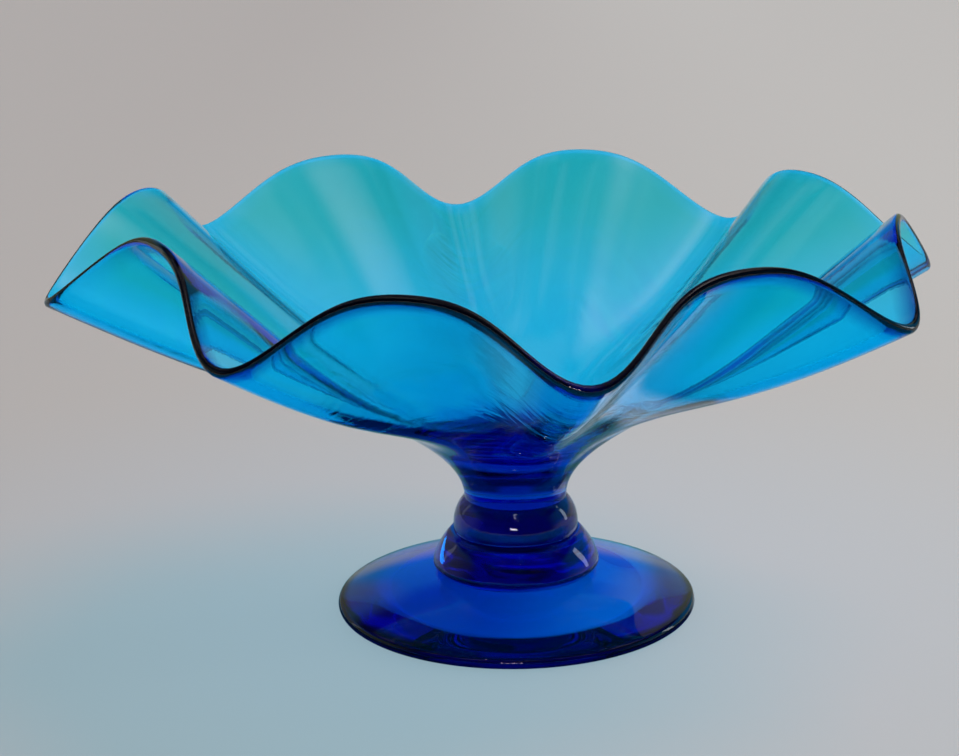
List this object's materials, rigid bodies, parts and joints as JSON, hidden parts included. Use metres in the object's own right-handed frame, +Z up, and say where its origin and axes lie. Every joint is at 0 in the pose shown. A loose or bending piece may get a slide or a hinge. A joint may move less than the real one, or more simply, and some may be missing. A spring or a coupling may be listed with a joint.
{
  "type": "glass centerpiece bowl",
  "caption": "Footed centerpiece bowl in transparent blue glass: a wide flaring bowl with a crimped wavy rim, a knopped stem and a round disc foot.",
  "frame": {"origin": "centre of the flat ring on the foot's underside, where the bowl stands", "axes": "+Z up along the stem's axis, -Y towards the viewer's front, +X to the viewer's right"},
  "size_m": [0.2848, 0.2777, 0.1375],
  "materials": {
    "stem_glass": "fire polished, thick and deep blue",
    "bowl_glass": "fire polished, thin and bright blue"
  },
  "bodies": {
    "root": {"foot": "stem_glass", "lower_knop": "stem_glass", "upper_knop": "stem_glass", "bowl": "bowl_glass"}
  },
  "joints": []
}
